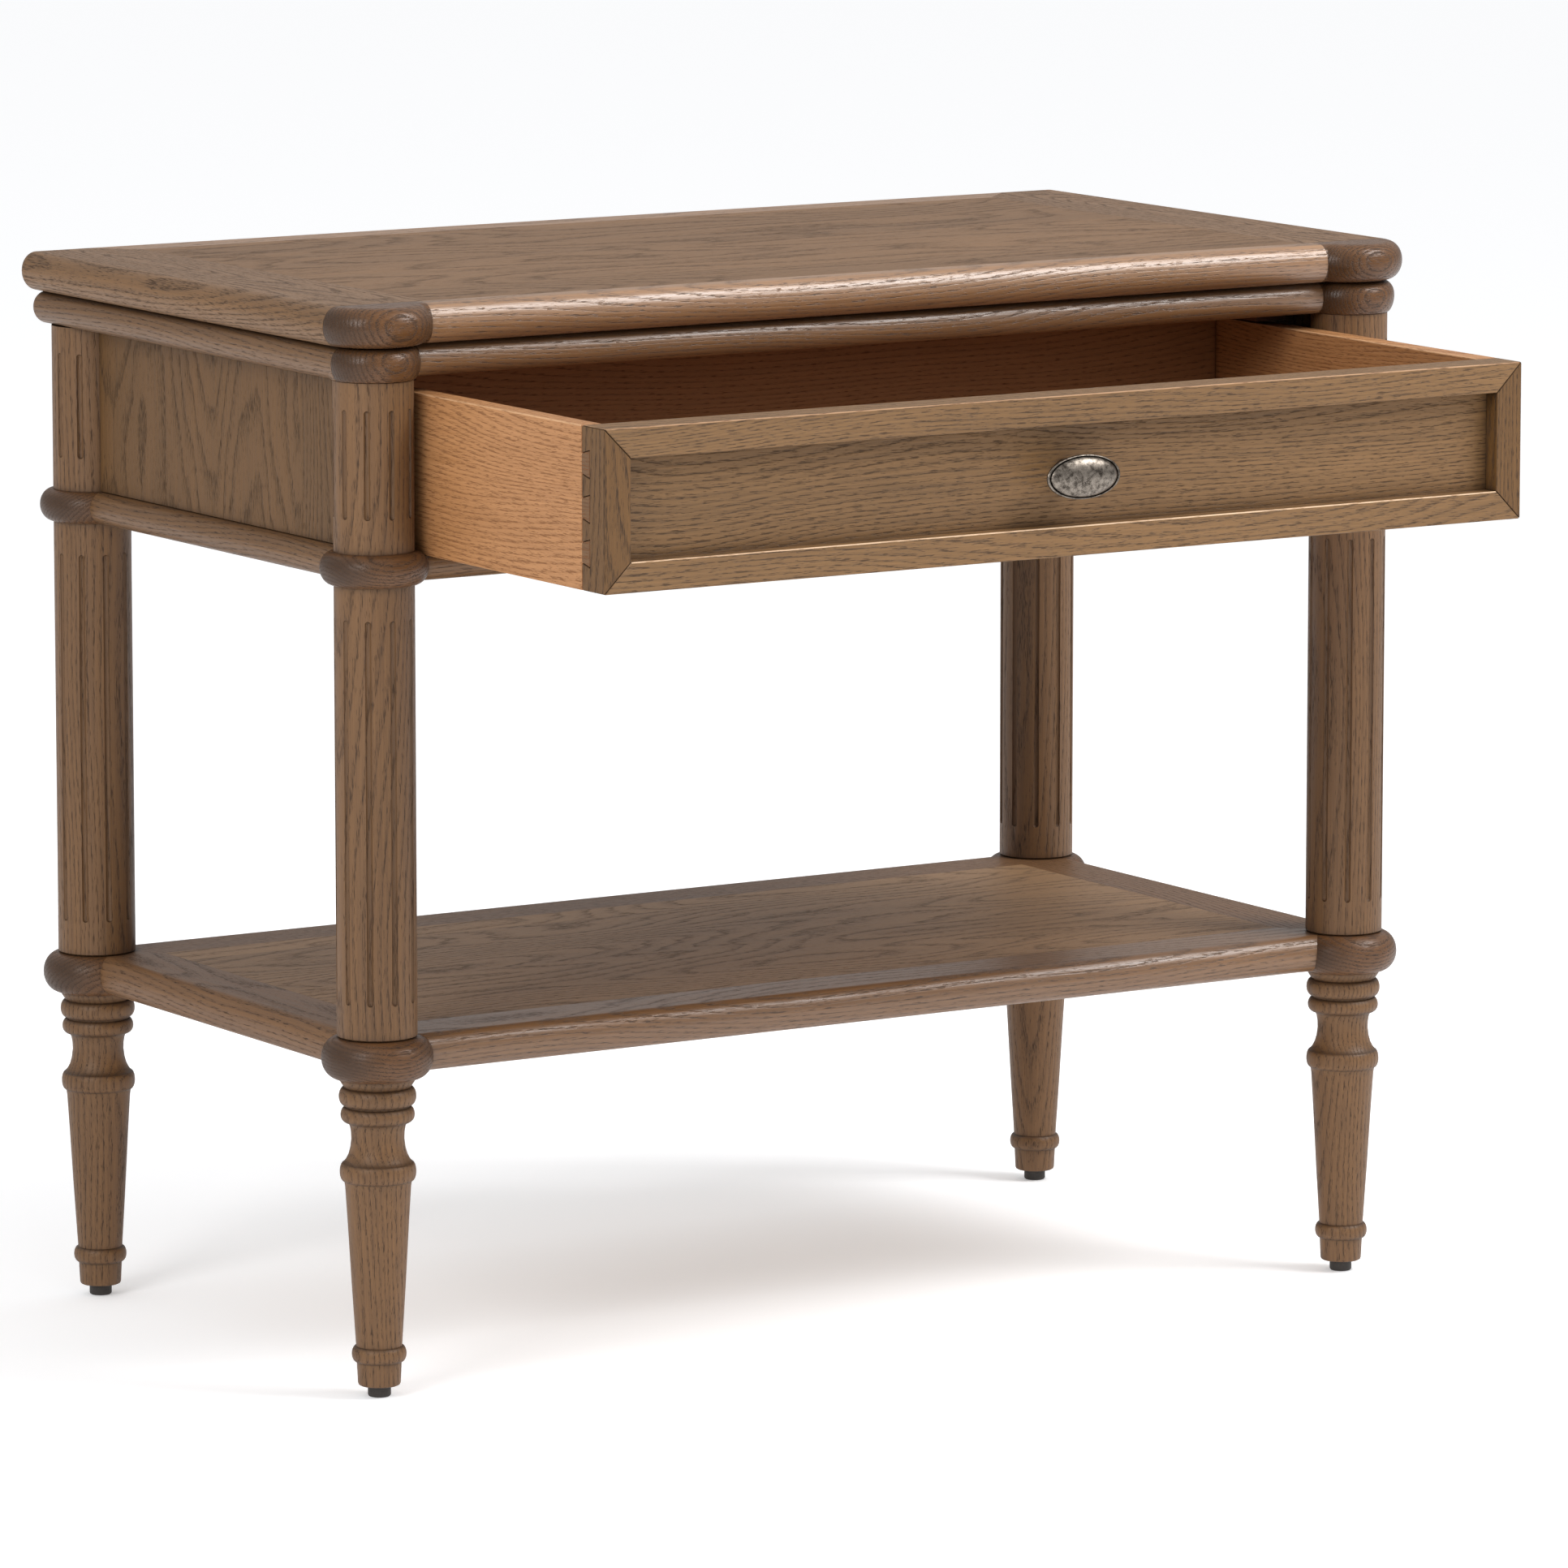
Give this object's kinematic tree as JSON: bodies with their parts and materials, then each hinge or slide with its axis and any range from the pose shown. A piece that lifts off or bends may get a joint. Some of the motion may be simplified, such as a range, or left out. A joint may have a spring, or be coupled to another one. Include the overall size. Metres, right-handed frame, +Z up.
{
  "type": "side table with drawer",
  "caption": "Oak side table with a drawer: fluted round posts on turned feet, moulded top with rounded front corners, low shelf, oval knob.",
  "frame": {"origin": "on the floor, under the middle of the whole table's box with the drawer drawn out by 212 mm", "axes": "+X to the right as seen from the front, +Y to the back, +Z up; the drawer front faces -Y"},
  "size_m": [0.7746, 0.6223, 0.66],
  "materials": {
    "case_oak": "weathered brown stained oak, satin lacquer",
    "drawer_oak": "natural oak, clear matt lacquer",
    "inside_oak": "reddish brown stained oak, matt",
    "bottom_plywood": "oak faced plywood, stained, matt",
    "knob_pewter": "aged pewter, mottled, worn bright on the rim",
    "screw_steel": "zinc plated",
    "glide_plastic": "dark moulded plastic"
  },
  "bodies": {
    "case": {"glide_front_left": "glide_plastic", "foot_front_left": "case_oak", "shelf_ring_front_left": "case_oak", "post_front_left": "case_oak", "apron_ring_front_left": "case_oak", "glide_front_right": "glide_plastic", "foot_front_right": "case_oak", "shelf_ring_front_right": "case_oak", "post_front_right": "case_oak", "apron_ring_front_right": "case_oak", "glide_back_left": "glide_plastic", "foot_back_left": "case_oak", "shelf_ring_back_left": "case_oak", "post_back_left": "case_oak", "apron_ring_back_left": "case_oak", "glide_back_right": "glide_plastic", "foot_back_right": "case_oak", "shelf_ring_back_right": "case_oak", "post_back_right": "case_oak", "apron_ring_back_right": "case_oak", "shelf_panel": "case_oak", "shelf_edge_front": "case_oak", "shelf_edge_back": "case_oak", "shelf_edge_left": "case_oak", "shelf_edge_right": "case_oak", "bead_rail_front": "case_oak", "bead_rail_back": "case_oak", "bead_rail_left": "case_oak", "bead_rail_right": "case_oak", "side_panel_left": "case_oak", "side_panel_right": "case_oak", "back_panel": "case_oak", "drawer_runner_left": "inside_oak", "drawer_kicker_left": "inside_oak", "drawer_runner_right": "inside_oak", "drawer_kicker_right": "inside_oak", "drawer_stop": "inside_oak", "subtop_rail_front": "case_oak", "subtop_rail_back": "case_oak", "subtop_rail_left": "case_oak", "subtop_rail_right": "case_oak", "top_panel": "case_oak", "top_edge_front": "case_oak", "top_edge_back": "case_oak", "top_edge_left": "case_oak", "top_edge_right": "case_oak", "top_corner_front_left": "case_oak", "top_corner_front_right": "case_oak"},
    "drawer": {"drawer_front_rail_top": "case_oak", "drawer_front_rail_bottom": "case_oak", "drawer_front_stile_left": "case_oak", "drawer_front_stile_right": "case_oak", "drawer_front_panel": "case_oak", "drawer_side_left": "drawer_oak", "drawer_side_right": "drawer_oak", "drawer_back": "inside_oak", "drawer_bottom": "bottom_plywood", "knob": "knob_pewter", "knob_screw": "screw_steel"}
  },
  "joints": [
    {"name": "drawer_slide", "type": "slide", "parent": "case", "child": "drawer", "axis": [0, 1, 0], "range_m": [-0.03, 0.212]}
  ]
}
